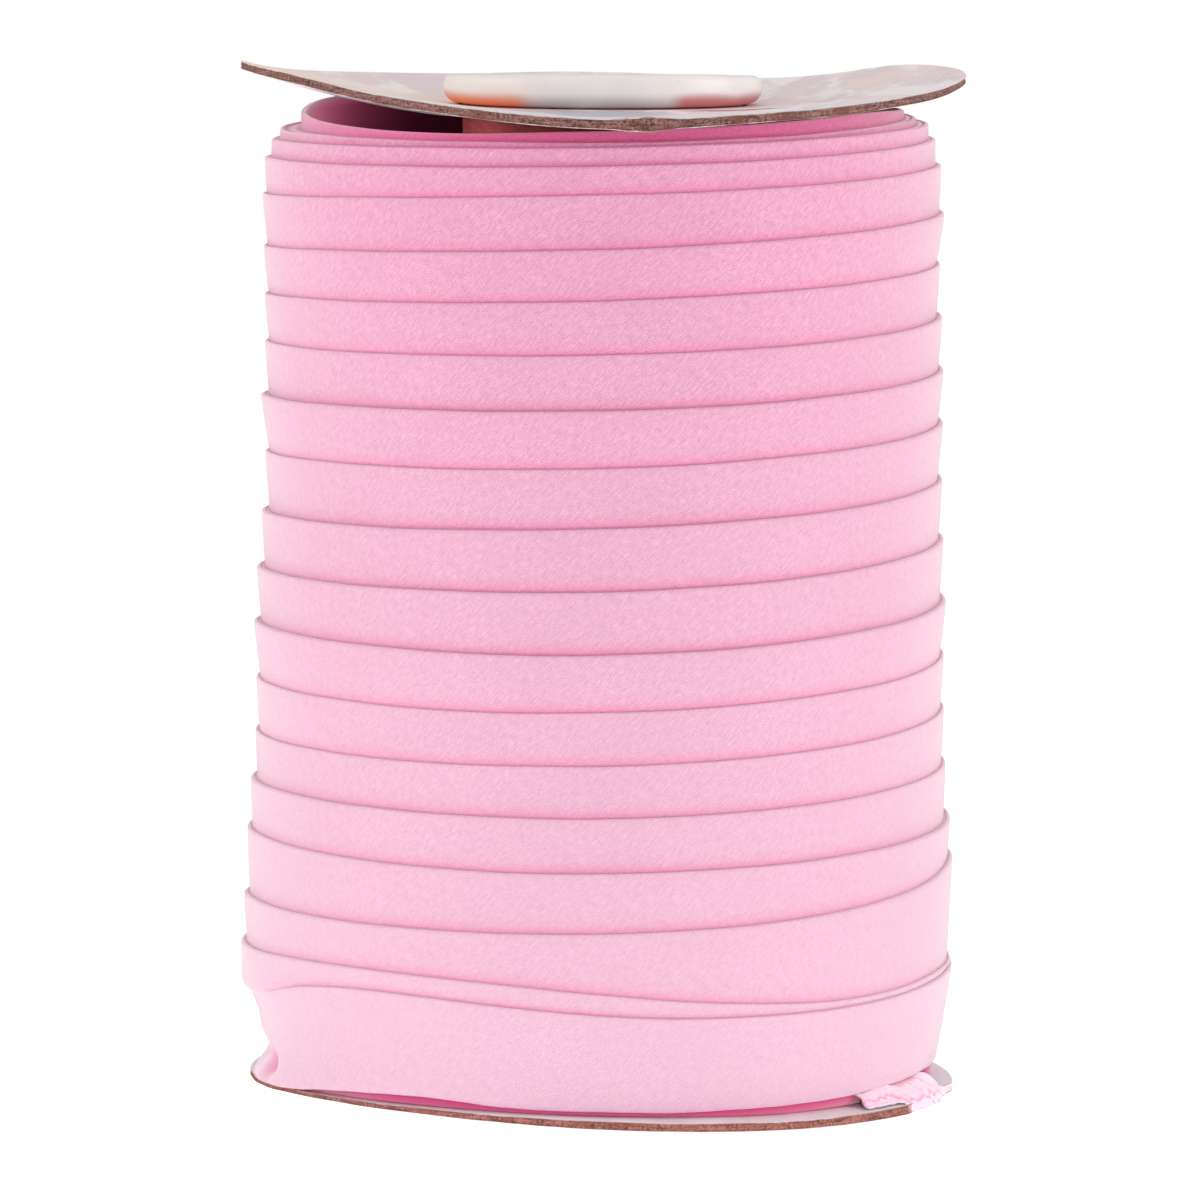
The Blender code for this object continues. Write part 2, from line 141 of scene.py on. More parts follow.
# Share of the lip's thickness from its inner side, depth below the edge, and shade.
LIP_PROFILE = ((0.02, 0.03 * MM, 0.05), (0.25, 0.01 * MM, 0.0), (0.55, 0.0, 0.0), (0.86, 0.1 * MM, 0.0),
               (1.0, LIP_DROP, 0.0))
GROOVE_LEAST = 0.16 * MM
GROOVE_DEPTH = 0.05 * MM
GROOVE_SLOPE = 0.04
GROOVE_SHADES = (0.15, 0.12)
MOUTH_RISE = 0.1 * MM
FACE_SHARES = (0.05, 0.16, 0.34, 0.55, 0.74, 0.86, 0.94, 1.0)
FACE_LEAN_POWER = 1.25
TURN_ROWS = len(GROOVE_SHADES) + len(LIP_PROFILE) + len(FACE_SHARES)
EDGE_WANDER = 0.1 * MM
# The tape's first edge rises out of the turn below it at the back.
RISE_TURN = 26.0
RISE_DEPTH = 5.0 * MM
# The last edge lies flat from here on.
FADE_START = LAST_TURN * 360.0 + 234.0
FADE_END = LAST_TURN * 360.0 + 254.0

# The hollow under the upper flange, with the edges of the inner turns and one that stands up.
HOLLOW_HEIGHT = 180.5 * MM
HOLLOW_RISE = 2.0 * MM
RIDGE_COUNT = 8
RIDGE_INNER_RADIUS = 29.0 * MM
RIDGE_OUTER_RADIUS = 55.0 * MM
RIDGE_SHADES = (1.8, 1.6)
BETWEEN_RIDGES_SHADE = 1.9
HOLLOW_FLOOR_SHADE = 1.95
# The lump on the outermost ridge rises, and its painted shade is lessened there as painted light.
LUMP_TURNED = 301.0
LUMP_HALF_ANGLE = 9.0
LUMP_RISE = 3.0 * MM
LUMP_LESS_SHADE = 1.35
LIT_WALL_TURNED = 284.0
LIT_WALL_HALF_ANGLE = 18.0
# Shades of the hollow's outer wall in the dark and in the light, from its bottom up.
WALL_SHADES = ((1.75, 1.12), (1.65, 1.08), (1.5, 1.02))
WALL_BOTTOM_RISE = 3.0 * MM
WALL_TOP_DROP = 2.0 * MM

# Below the last turn: its folded edge, the layers inside and the underside.
BELLY_SHARES = (0.33, 0.67, 1.0)
FOOT_SHARES = (0.14, 0.28, 0.42, 0.56, 0.7, 0.84, 0.95)
# Millimetres inward and upward of the folded edge, and shade.
FOOT_FOLD = ((0.12, 0.08, 0.15), (0.4, 0.0, 0.6), (0.75, 0.3, 1.0))
FOOT_WANDER = 0.1 * MM
FOOT_WAVELENGTHS = (61.0, 17.0, 7.3)
UNDERSIDE_HEIGHT = 8.6 * MM
UNDERSIDE_LEAST = 6.6 * MM
LAYERS_RADIUS = 67.3 * MM
LAYERS_SHADES = (1.7, 1.6, 1.15)
# The layers lie further in where the tape's cut end comes out.
LAYERS_OPEN_AZIMUTH = 336.0
LAYERS_OPEN_HALF_ANGLE = 12.5
LAYERS_OPEN_FADE = 3.0
LAYERS_OPEN_RADIUS = 59.5 * MM

TAPE_MAP = "tape"
TAPE_MEAN_RADIUS = 66.5 * MM
# How deeply a point is shaded: 0 not at all, 1 as deep pink and 2 as nearly black.
SHADE = "shade"
SHADE_REACH = 2.6 * MM
SHADE_REACH_LEAST = 0.2 * MM
SHADE_REACH_SHARE = 0.45
SHADE_AT_FOOT = 0.3
SHADE_AT_SIDES = 0.45
FLANGE_SHADE = 0.66
FLANGE_SHADE_BEHIND = 0.14
FLANGE_SHADE_TURNS = 2.0
FLANGE_SHADE_BACK = 10.0
FLANGE_SHADE_POWER = 2.5


def eased(share):
    """Rises smoothly from 0 to 1 as the share does."""
    share = min(1.0, max(0.0, share))
    return share * share * (3.0 - 2.0 * share)


def mixed(first, second, share):
    return first + (second - first) * share


def on_circle(radius, azimuth, height):
    turn = math.radians(azimuth)
    return (radius * math.cos(turn), radius * math.sin(turn), height)


def smooth_through(knots, place):
    """Value at a place on a smooth curve through (place, value) knots that may be uneven."""
    last = len(knots) - 1
    passed = bisect.bisect_left(knots, place, key=lambda knot: knot[0])
    low = min(max(passed - 1, 0), last - 1)

    def slope(number):
        before = knots[max(number - 1, 0)]
        after = knots[min(number + 1, last)]
        return (after[1] - before[1]) / (after[0] - before[0])

    start, end = knots[low], knots[low + 1]
    span = end[0] - start[0]
    share = (place - start[0]) / span
    square, cube = share ** 2, share ** 3
    return ((2 * cube - 3 * square + 1) * start[1] + (cube - 2 * square + share) * span * slope(low)
            + (3 * square - 2 * cube) * end[1] + (cube - square) * span * slope(low + 1))


def smooth_around(values, spacing, azimuth):
    """Value at an azimuth on a smooth closed curve through evenly spaced values."""
    count = len(values)
    knots = [(spacing * number, values[number % count]) for number in range(-2, count + 3)]
    return smooth_through(knots, azimuth % 360.0)


def wander(place, seed, wavelengths=(97.0, 41.0, 23.0), shares=(0.5, 0.3, 0.2)):
    """Slow irregular wave between about -1 and 1, along a place in degrees."""
    return sum(share * math.sin(math.tau * place / wavelength + seed * (2.3 + 1.7 * number))
               for number, (wavelength, share) in enumerate(zip(wavelengths, shares)))


def angle_off(azimuth, centre):
    """Degrees between two azimuths, the short way round."""
    return abs((azimuth - centre + 180.0) % 360.0 - 180.0)


def bell(place, centre, half_width):
    """Smooth hump of height 1 round a centre."""
    return math.exp(-((place - centre) / half_width) ** 2)


def bumpy(x, y, z):
    """Smooth noise between about -1 and 1."""
    return noise.noise(Vector((x, y, z)))


def linked(name, data):
    """A new object in the scene."""
    made = bpy.data.objects.new(name, data)
    bpy.context.scene.collection.objects.link(made)
    return made


def turn_outward(mesh):
    work = bmesh.new()
    work.from_mesh(mesh)
    bmesh.ops.recalc_face_normals(work, faces=work.faces)
    work.to_mesh(mesh)
    work.free()


def turned_mesh(name, points, columns, kinds, sharp_angle):
    """Closed mesh of columns round the axis, with a material slot for each row of faces."""
    rows = len(kinds)
    faces = []
    for column in range(columns):
        here, beside = column * rows, (column + 1) % columns * rows
        for row in range(rows):
            below = (row + 1) % rows
            faces.append((here + row, here + below, beside + below, beside + row))
    mesh = bpy.data.meshes.new(name)
    mesh.from_pydata(points, [], faces)
    mesh.polygons.foreach_set("material_index", kinds * columns)
    mesh.shade_smooth()
    turn_outward(mesh)
    mesh.set_sharp_from_angle(angle=math.radians(sharp_angle))
    return mesh


def cloth_mesh(name, points, faces, corners, shades):
    """Mesh with a place on the tape at each corner and a shade at each point."""
    mesh = bpy.data.meshes.new(name)
    mesh.from_pydata(points, [], faces)
    mesh.uv_layers.new(name=TAPE_MAP).data.foreach_set("uv", corners)
    mesh.attributes.new(SHADE, "FLOAT", "POINT").data.foreach_set("value", shades)
    mesh.validate()
    mesh.shade_smooth()
    return mesh


def add_piece(name, mesh, materials, replaced):
    piece = linked(name, mesh)
    for material in materials:
        mesh.materials.append(material)
    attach(piece, "root")
    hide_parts(replaced)
    return piece


# Materials


def srgb(red, green, blue):
    """Linear colour of a screen colour given from 0 to 255."""
    linear = [value / 255.0 / 12.92 if value <= 10 else ((value / 255.0 + 0.055) / 1.055) ** 2.4
              for value in (red, green, blue)]
    return (*linear, 1.0)


class Nodes:
    """A material's node tree and short ways to add to it."""

    def __init__(self, name):
        self.material = bpy.data.materials.new(name)
        self.material.use_nodes = True
        self.tree = self.material.node_tree
        self.shader = self.tree.nodes["Principled BSDF"]

    def add(self, kind, inputs=None, **settings):
        made = self.tree.nodes.new(kind)
        for setting, value in settings.items():
            setattr(made, setting, value)
        for key, value in (inputs or {}).items():
            self.feed(made.inputs[key], value)
        return made

    def feed(self, socket, value):
        if isinstance(value, bpy.types.NodeSocket):
            self.tree.links.new(value, socket)
        else:
            socket.default_value = value

    def calc(self, operation, *values):
        return self.add("ShaderNodeMath", dict(enumerate(values)), operation=operation).outputs[0]

    def mix(self, share, first, second):
        return self.add("ShaderNodeMix", {0: share, 6: first, 7: second}, data_type="RGBA").outputs[2]

    def spread(self, value, low, high, new_low=0.0, new_high=1.0, kind="SMOOTHSTEP"):
        inputs = dict(enumerate((value, low, high, new_low, new_high)))
        return self.add("ShaderNodeMapRange", inputs, interpolation_type=kind).outputs[0]

    def spread_straight(self, value, low, high):
        return self.spread(value, low, high, kind="LINEAR")

    def noise(self, vector, scale, detail=2.0, roughness=0.5):
        inputs = {"Vector": vector, "Scale": scale, "Detail": detail, "Roughness": roughness}
        return self.add("ShaderNodeTexNoise", inputs).outputs["Fac"]

    def place(self):
        return self.add("ShaderNodeTexCoord").outputs["Object"]

    def stretched(self, vector, scale):
        return self.add("ShaderNodeMapping", {"Vector": vector, "Scale": scale}).outputs[0]

    def bump(self, height, strength, distance):
        inputs = {"Height": height, "Strength": strength, "Distance": distance}
        return self.add("ShaderNodeBump", inputs).outputs[0]

    def axes(self, vector):
        return self.add("ShaderNodeSeparateXYZ", {0: vector}).outputs

    def total(self, *parts):
        """Sum of values, each given with its weight."""
        added = 0.0
        for value, weight in parts:
            added = self.calc("MULTIPLY_ADD", value, weight, added)
        return added

    def length(self, first, second):
        squares = [self.calc("MULTIPLY", value, value) for value in (first, second)]
        return self.calc("SQRT", self.calc("ADD", *squares))

    def finish(self, **inputs):
        for key, value in inputs.items():
            self.feed(self.shader.inputs[key.replace("_", " ")], value)
        return self.material


THREAD_PITCH = 0.37 * MM
WEAVE_WOBBLE = 3.0
# Metres of tape from the first built turn to the last, over which its colour changes: paler toward the
# bottom, which is painted light.
TAPE_LENGTH_SHOWN = 8.4
# The first turn's (deep, light) colours, then the last turn's, which are paler as painted light.
UPPER_CLOTH = ((0.455, 0.15, 0.262, 1.0), (0.765, 0.36, 0.522, 1.0))
LOWER_CLOTH = ((0.59, 0.342, 0.448, 1.0), (0.715, 0.462, 0.572, 1.0))
# The loose end's colours are paler than the wound tape's: painted light.
END_CLOTH_PAINTED_LIGHT = ((0.74, 0.50, 0.61, 1.0), (0.87, 0.64, 0.74, 1.0))
SHADE_PINK = (0.82, 0.07, 0.27, 1.0)
SHADE_DARK = (0.035, 0.004, 0.01, 1.0)


def tape_material(name, upper, lower):
    """Pink polycotton cut on the bias, so its threads cross the tape at 45 degrees.

    Upper and lower are (deep, light) pairs of colours, for the tape's first turn and its last. The last
    pair is paler: painted light that grows toward the bottom of the roll.
    """
    n = Nodes(name)
    flat = n.add("ShaderNodeUVMap", uv_map=TAPE_MAP).outputs[0]
    wobble = n.noise(n.stretched(flat, (260.0, 260.0, 1.0)), 1.0, 1.0)
    along, across = n.axes(flat)[:2]
    warp_place = n.calc("ADD", along, across)
    weft_place = n.calc("SUBTRACT", along, across)
    turn = math.tau / (THREAD_PITCH * math.sqrt(2.0))
    shift = n.calc("MULTIPLY", wobble, WEAVE_WOBBLE)
    waves = [n.calc("MULTIPLY_ADD", n.calc("SINE", n.calc("MULTIPLY_ADD", place, turn, shift)), 0.5, 0.5)
             for place in (warp_place, weft_place)]
    weave = n.total((waves[0], 0.72), (waves[1], 0.28))
    threads, crossing = [
        n.stretched(n.add("ShaderNodeCombineXYZ", {0: warp_place, 1: weft_place}).outputs[0], (*scale, 1.0))
        for scale in ((1350.0, 420.0), (300.0, 1500.0))]
    slubs = n.noise(threads, 1.0, 2.0, 0.6)
    weft_slubs = n.noise(crossing, 1.0, 1.0)
    fibres = n.noise(flat, 3600.0, 2.0, 0.7)
    mottle = n.noise(flat, 42.0, 3.0, 0.6)
    height = n.total((weave, 1.0), (slubs, 1.1))
    tone = n.total((weave, 0.34), (slubs, 0.5), (weft_slubs, 0.16), (fibres, 0.5))
    # Paler toward the last turn at the bottom: painted light.
    painted_light_share = n.spread_straight(along, 0.0, TAPE_LENGTH_SHOWN)
    deep = n.mix(painted_light_share, upper[0], lower[0])
    light = n.mix(painted_light_share, upper[1], lower[1])
    colour = n.mix(n.spread(tone, 0.46, 1.02), deep, light)
    colour = n.mix(n.spread(slubs, 0.62, 0.8, 0.0, 0.6), colour, light)
    colour = n.mix(n.spread(mottle, 0.3, 0.7, 0.0, 0.16), colour, deep)
    shade = n.add("ShaderNodeAttribute", attribute_name=SHADE).outputs["Fac"]
    colour = n.mix(n.spread_straight(shade, 0.0, 1.0), colour, SHADE_PINK)
    colour = n.mix(n.spread_straight(shade, 1.0, 2.0), colour, SHADE_DARK)
    normal = n.bump(height, 0.4, 0.09 * MM)
    return n.finish(Base_Color=colour, Normal=normal, Roughness=0.85, Sheen_Weight=0.85,
                    Sheen_Roughness=0.45, Sheen_Tint=(1.0, 0.97, 0.97, 1.0), Specular_IOR_Level=0.15)


BOARD_PIT = (0.03, 0.018, 0.016, 1.0)
WORN_PAPER = srgb(236, 218, 224)
WORN_FADE = 3.5 * MM


def board_edge_material(name, dark, light, patch, covered):
    """Cut edge of grey-brown board: short fibres pressed in flat layers, with specks.

    At the right, from x = covered on, the pale face paper has worn over the edge.
    """
    n = Nodes(name)
    place = n.place()
    layers = n.noise(n.stretched(place, (240.0, 240.0, 2600.0)), 1.0, 3.0, 0.6)
    specks = n.noise(place, 1900.0, 3.0, 0.75)
    pits = n.noise(place, 1100.0, 2.0, 0.6)
    patches = n.noise(place, 150.0, 3.0, 0.6)
    tone = n.total((layers, 0.4), (specks, 0.6))
    colour = n.mix(n.spread(tone, 0.38, 0.64), dark, light)
    colour = n.mix(n.spread(patches, 0.5, 0.72), colour, patch)
    colour = n.mix(n.spread(pits, 0.62, 0.72, 0.0, 0.6), colour, BOARD_PIT)
    worn = n.calc("MULTIPLY_ADD", patches, 4.0 * MM, n.axes(place)[0])
    worn = n.spread(worn, covered, covered + WORN_FADE, 0.0, 0.85)
    colour = n.mix(worn, colour, WORN_PAPER)
    normal = n.bump(n.calc("SUBTRACT", tone, n.spread(pits, 0.6, 0.75)), 0.8, 0.25 * MM)
    return n.finish(Base_Color=colour, Normal=normal, Roughness=0.9, Specular_IOR_Level=0.2)


CLOUD_STARTS = (0.46, 0.5, 0.54)
CLOUD_ENDS = (0.6, 0.6, 0.66)
# The painted rim highlight shows fully in front of the first y and not behind the second.
RIM_HIGHLIGHT_FRONT = (-52.0 * MM, -30.0 * MM)


def face_paper_material(name, base, clouds, spots, rim_highlight, gloss):
    """Coated paper on a flange, printed with soft clouds.

    A spot is (x, y, radius, colour). The rim highlight, a painted highlight along the front rim, starts to
    show at its first radius and shows fully from its second, at the front only.
    """
    n = Nodes(name)
    place = n.place()
    bent = n.noise(n.stretched(place, (1.0, 0.35, 1.0)), 58.0, 4.0, 0.6)
    second = n.noise(n.stretched(place, (1.0, 0.3, 1.0)), 95.0, 5.0, 0.62)
    third = n.noise(n.stretched(place, (1.4, 0.4, 1.0)), 42.0, 3.0, 0.5)
    fine = n.noise(place, 900.0, 2.0)
    colour = base
    for source, low, high, cloud in zip((third, second, bent), CLOUD_STARTS, CLOUD_ENDS, clouds):
        colour = n.mix(n.spread(source, low, high), colour, cloud)
    right, back = n.axes(place)[:2]
    warp = n.calc("MULTIPLY_ADD", second, 22.0 * MM, -11.0 * MM)
    for x, y, radius, spot in spots:
        away = n.length(*(n.calc("SUBTRACT", n.calc("ADD", axis, warp), centre)
                          for axis, centre in ((right, x), (back, y))))
        colour = n.mix(n.spread(away, radius * 0.55, radius, 0.9, 0.0), colour, spot)
    # Painted highlight along the label's front rim.
    if rim_highlight:
        start, end, highlight = rim_highlight
        front = n.spread(back, *RIM_HIGHLIGHT_FRONT, 1.0, 0.0)
        share = n.calc("MULTIPLY", n.spread(n.length(right, back), start, end), front)
        colour = n.mix(share, colour, highlight)
    normal = n.bump(fine, 0.1, 0.04 * MM)
    return n.finish(Base_Color=colour, Normal=normal, Roughness=0.42, Specular_IOR_Level=gloss,
                    Coat_Weight=0.04, Coat_Roughness=0.12)


def paper_edge_material(name):
    """Edge of a face paper, worn to the board's colour in places."""
    n = Nodes(name)
    tone = n.noise(n.place(), 700.0, 3.0, 0.6)
    worn = n.noise(n.place(), 95.0, 2.0, 0.5)
    colour = n.mix(n.spread(tone, 0.3, 0.7), srgb(150, 128, 122), srgb(205, 194, 190))
    colour = n.mix(n.spread(worn, 0.46, 0.6), colour, srgb(132, 98, 90))
    return n.finish(Base_Color=colour, Normal=n.bump(tone, 0.2, 0.05 * MM), Roughness=0.6)


# Painted reflections of the label's colours in the gloss under the upper curled end: from x, to x and
# colour.
REFLECTION_HEIGHT = 198.0 * MM
LABEL_REFLECTIONS = ((-34.0 * MM, -12.0 * MM, srgb(248, 132, 70)), (12.0 * MM, 36.0 * MM, srgb(202, 102, 106)))
# The foot's curled end has neither the painted reflections nor the painted shade.
REFLECTION_LEAST_HEIGHTS = (100.0 * MM, 120.0 * MM)
# Painted shade on the underside of the upper curled end.
CURL_UNDERSIDE_SHADE = srgb(172, 167, 170)


def gloss_card_material(name):
    """White coated card of the tube's curled ends."""
    n = Nodes(name)
    place = n.place()
    soft = n.noise(place, 70.0, 3.0, 0.5)
    fine = n.noise(place, 1500.0, 2.0, 0.6)
    scuffs = n.noise(n.stretched(place, (500.0, 500.0, 1400.0)), 1.0, 3.0, 0.65)
    colour = n.mix(n.spread(soft, 0.3, 0.7), srgb(243, 239, 236), srgb(235, 229, 227))
    colour = n.mix(n.spread(scuffs, 0.66, 0.76, 0.0, 0.5), colour, srgb(150, 146, 144))
    x, _, z = n.axes(place)
    # Painted shade greys the upper curl's underside, and the label's painted reflections lie on it.
    painted_underside = n.spread(n.calc("MULTIPLY_ADD", soft, 1.6 * MM, z), REFLECTION_HEIGHT - 1.5 * MM,
                     REFLECTION_HEIGHT + 1.0 * MM, 1.0, 0.0)
    painted_underside = n.calc("MULTIPLY", painted_underside, n.spread(z, *REFLECTION_LEAST_HEIGHTS))
    colour = n.mix(n.calc("MULTIPLY", painted_underside, 0.7), colour, CURL_UNDERSIDE_SHADE)
    for low, high, reflection in LABEL_REFLECTIONS:
        here = n.calc("MULTIPLY", n.spread(x, low, low + 4.0 * MM),
                      n.spread(x, high - 6.0 * MM, high, 0.9, 0.0))
        colour = n.mix(n.calc("MULTIPLY", painted_underside, here), colour, reflection)
    normal = n.bump(n.total((fine, 1.0), (soft, 2.0)), 0.12, 0.12 * MM)
    return n.finish(Base_Color=colour, Normal=normal, Roughness=0.5, Coat_Weight=0.12, Coat_Roughness=0.2)


def kraft_material(name, dark, light, patch):
    """Bare card of the tube's wall."""
    n = Nodes(name)
    place = n.place()
    fibres = n.noise(n.stretched(place, (500.0, 500.0, 2200.0)), 1.0, 3.0, 0.6)
    soft = n.noise(place, 60.0, 2.0)
    colour = n.mix(n.spread(fibres, 0.3, 0.7), dark, light)
    colour = n.mix(n.spread(soft, 0.35, 0.65, 0.0, 0.3), colour, patch)
    return n.finish(Base_Color=colour, Normal=n.bump(fibres, 0.3, 0.1 * MM), Roughness=0.85)


# The wound tape


def ring_place(ring, azimuth):
    """Radius and height of a ring at an azimuth."""
    closed = [(knot[0] + shift, *knot[1:]) for shift in (-360.0, 0.0, 360.0) for knot in ring]
    height, radius = (smooth_through([(knot[0], knot[part]) for knot in closed], azimuth % 360.0) * MM
                      for part in (1, 2))
    return radius, height


class Tape:
    """The wound tape's upper edge, which sinks as it goes round."""

    def __init__(self):
        self.heights, self.radii, self.tucks = [], [], []
        for number, turn in enumerate(TURNS):
            right, front, left, right_radius, left_radius, tuck = (value * MM for value in turn)
            start = 360.0 * number
            front_radius = (right_radius + left_radius) / 2.0
            self.heights += [(start + 90.0, right), (start + 180.0, front), (start + 270.0, left)]
            self.radii += [(start + 90.0, right_radius), (start + 180.0, front_radius),
                           (start + 270.0, left_radius)]
            self.tucks.append((start + 180.0, tuck))
        for turn, height, radius in BACK_PLACES:
            self.heights.append((360.0 * turn, height * MM))
            self.radii.append((360.0 * turn, radius * MM))
        for turn, places in MORE_HEIGHTS.items():
            self.heights += [(360.0 * turn + turned, height * MM) for turned, height in places]
        self.heights.sort()
        self.radii.sort()

    def lip(self, place):
        """How far the edge stands out as a lip, from 0 to 1."""
        return 1.0 - eased((place - FADE_START) / (FADE_END - FADE_START))

    def edge(self, place):
        """Radius and height of the upper edge."""
        radius = smooth_through(self.radii, place)
        height = smooth_through(self.heights, place)
        if place < RISE_TURN:
            height -= RISE_DEPTH * (1.0 - eased(place / RISE_TURN))
        return radius, height + EDGE_WANDER * wander(place, 1.0)

    def foot(self, place):
        """Radius and height at which the next turn covers this one."""
        turned = place % 360.0
        if place >= 360.0 * LAST_TURN:
            return ring_place(UPPER_BELLY, 90.0 - turned)
        radius = self.edge(place)[0]
        tuck = smooth_through(self.tucks, min(max(place, self.tucks[0][0]), self.tucks[-1][0]))
        next_radius, next_height = self.edge(place + 360.0)
        lip = self.lip(place + 360.0)
        tucked = min(radius - tuck, next_radius - LIP_STAND * lip)
        return mixed(radius - 0.1 * MM, tucked, lip), next_height + MOUTH_RISE


def under_flange(place):
    """Shade of the turns that stand close under the upper flange, most at the front."""
    off_back = math.radians(place - FLANGE_SHADE_BACK)
    frontness = (0.5 - 0.5 * math.cos(off_back)) ** FLANGE_SHADE_POWER
    fading = 1.0 - eased(place / (FLANGE_SHADE_TURNS * 360.0))
    return mixed(FLANGE_SHADE_BEHIND, 1.0, frontness) * FLANGE_SHADE * fading


def turn_rows(tape, place):
    """One turn's groove, rounded lip and face, as (radius, height, distance below the edge, shade)."""
    radius, height = tape.edge(place)
    if place < 360.0:
        behind = radius - LIP_THICKNESS - GROOVE_LEAST
    else:
        behind = tape.foot(place - 360.0)[0]
    foot_radius, foot_height = tape.foot(place)
    thick = max(LIP_LEAST, min(LIP_THICKNESS, radius - behind - GROOVE_LEAST))
    inner = radius - thick
    depth = GROOVE_DEPTH + GROOVE_SLOPE * max(0.0, inner - behind)
    shape = [(behind - 0.03 * MM, height - depth, GROOVE_SHADES[0]),
             (inner, height - 0.95 * depth, GROOVE_SHADES[1])]
    shape += [(inner + share * thick, height - down, shade) for share, down, shade in LIP_PROFILE]
    lip = tape.lip(place)
    if lip < 1.0:
        count = len(shape)
        for number, (lip_radius, lip_height, shade) in enumerate(shape):
            share = (number + 1.0) / count
            flat_radius = mixed(behind, radius, share)
            flat_height = height + MOUTH_RISE - (MOUTH_RISE + LIP_DROP) * share
            shape[number] = (mixed(flat_radius, lip_radius, lip), mixed(flat_height, lip_height, lip),
                             shade * lip)
    below_lip = tape.lip(place + 360.0) if place < 360.0 * LAST_TURN else 0.0
    off_side = math.radians(2.0 * (place - 90.0))
    frontal = mixed(SHADE_AT_SIDES, 1.0, 0.5 - 0.5 * math.cos(off_side))
    rows = [(row_radius, row_height, max(0.0, height - row_height), shade)
            for row_radius, row_height, shade in shape]
    start_radius, start_height = shape[-1][:2]
    reach = min(SHADE_REACH, SHADE_REACH_SHARE * (start_height - foot_height))
    reach = max(SHADE_REACH_LEAST, reach)
    for share in FACE_SHARES:
        face_radius = mixed(start_radius, foot_radius, share ** FACE_LEAN_POWER)
        face_height = mixed(start_height, foot_height, share)
        near = max(0.0, 1.0 - (face_height - foot_height) / reach)
        shade = SHADE_AT_FOOT * frontal * near ** 1.5 * below_lip
        rows.append((face_radius, face_height, height - face_height, shade))
    shaded = under_flange(place)
    return [(row_radius, row_height, below, shade + shaded * (1.0 - min(1.0, shade)))
            for row_radius, row_height, below, shade in rows]


def hollow_rows(tape, turned):
    """Tape edges inside the standing rim, from the tube outward."""
    rows = [(TUBE_RADIUS + GAP, HOLLOW_HEIGHT, 0.0, HOLLOW_FLOOR_SHADE)]
    azimuth = 90.0 - turned
    step = (RIDGE_OUTER_RADIUS - RIDGE_INNER_RADIUS) / RIDGE_COUNT
    lump = bell(turned, LUMP_TURNED, LUMP_HALF_ANGLE)
    for ridge in range(RIDGE_COUNT):
        radius = RIDGE_INNER_RADIUS + step * ridge
        base = HOLLOW_HEIGHT + HOLLOW_RISE * ridge / RIDGE_COUNT
        top = base + (1.0 + 1.1 * bumpy(*on_circle(1.3, azimuth, 3.1 * ridge))) * MM
        shade = mixed(*RIDGE_SHADES, ridge / RIDGE_COUNT)
        if ridge == RIDGE_COUNT - 1:
            top += LUMP_RISE * lump
            shade -= LUMP_LESS_SHADE * lump
        rows += [(radius, base - 0.4 * MM, 0.0, BETWEEN_RIDGES_SHADE),
                 (radius + 0.3 * step, top, 0.0, shade),
                 (radius + 0.6 * step, top - 0.15 * MM, 1.0 * MM, shade)]
    edge_radius, edge_height = tape.edge(turned)
    if turned < RISE_TURN:
        over_radius, over_height = tape.edge(360.0 + turned)
        share = eased(turned / RISE_TURN)
        edge_radius = mixed(over_radius, edge_radius, share)
        edge_height = mixed(over_height, edge_height, share)
    wall = edge_radius - LIP_THICKNESS - GROOVE_LEAST
    low = HOLLOW_HEIGHT + WALL_BOTTOM_RISE
    lit = bell(turned, LIT_WALL_TURNED, LIT_WALL_HALF_ANGLE)
    shades = [mixed(dark, light, lit) for dark, light in WALL_SHADES]
    rows += [(wall - 0.5 * MM, low, 2.0 * MM, shades[0]),
             (wall - 0.3 * MM, mixed(low, edge_height, 0.45), 3.0 * MM, shades[1]),
             (wall, edge_height - WALL_TOP_DROP, 5.0 * MM, shades[2])]
    return rows


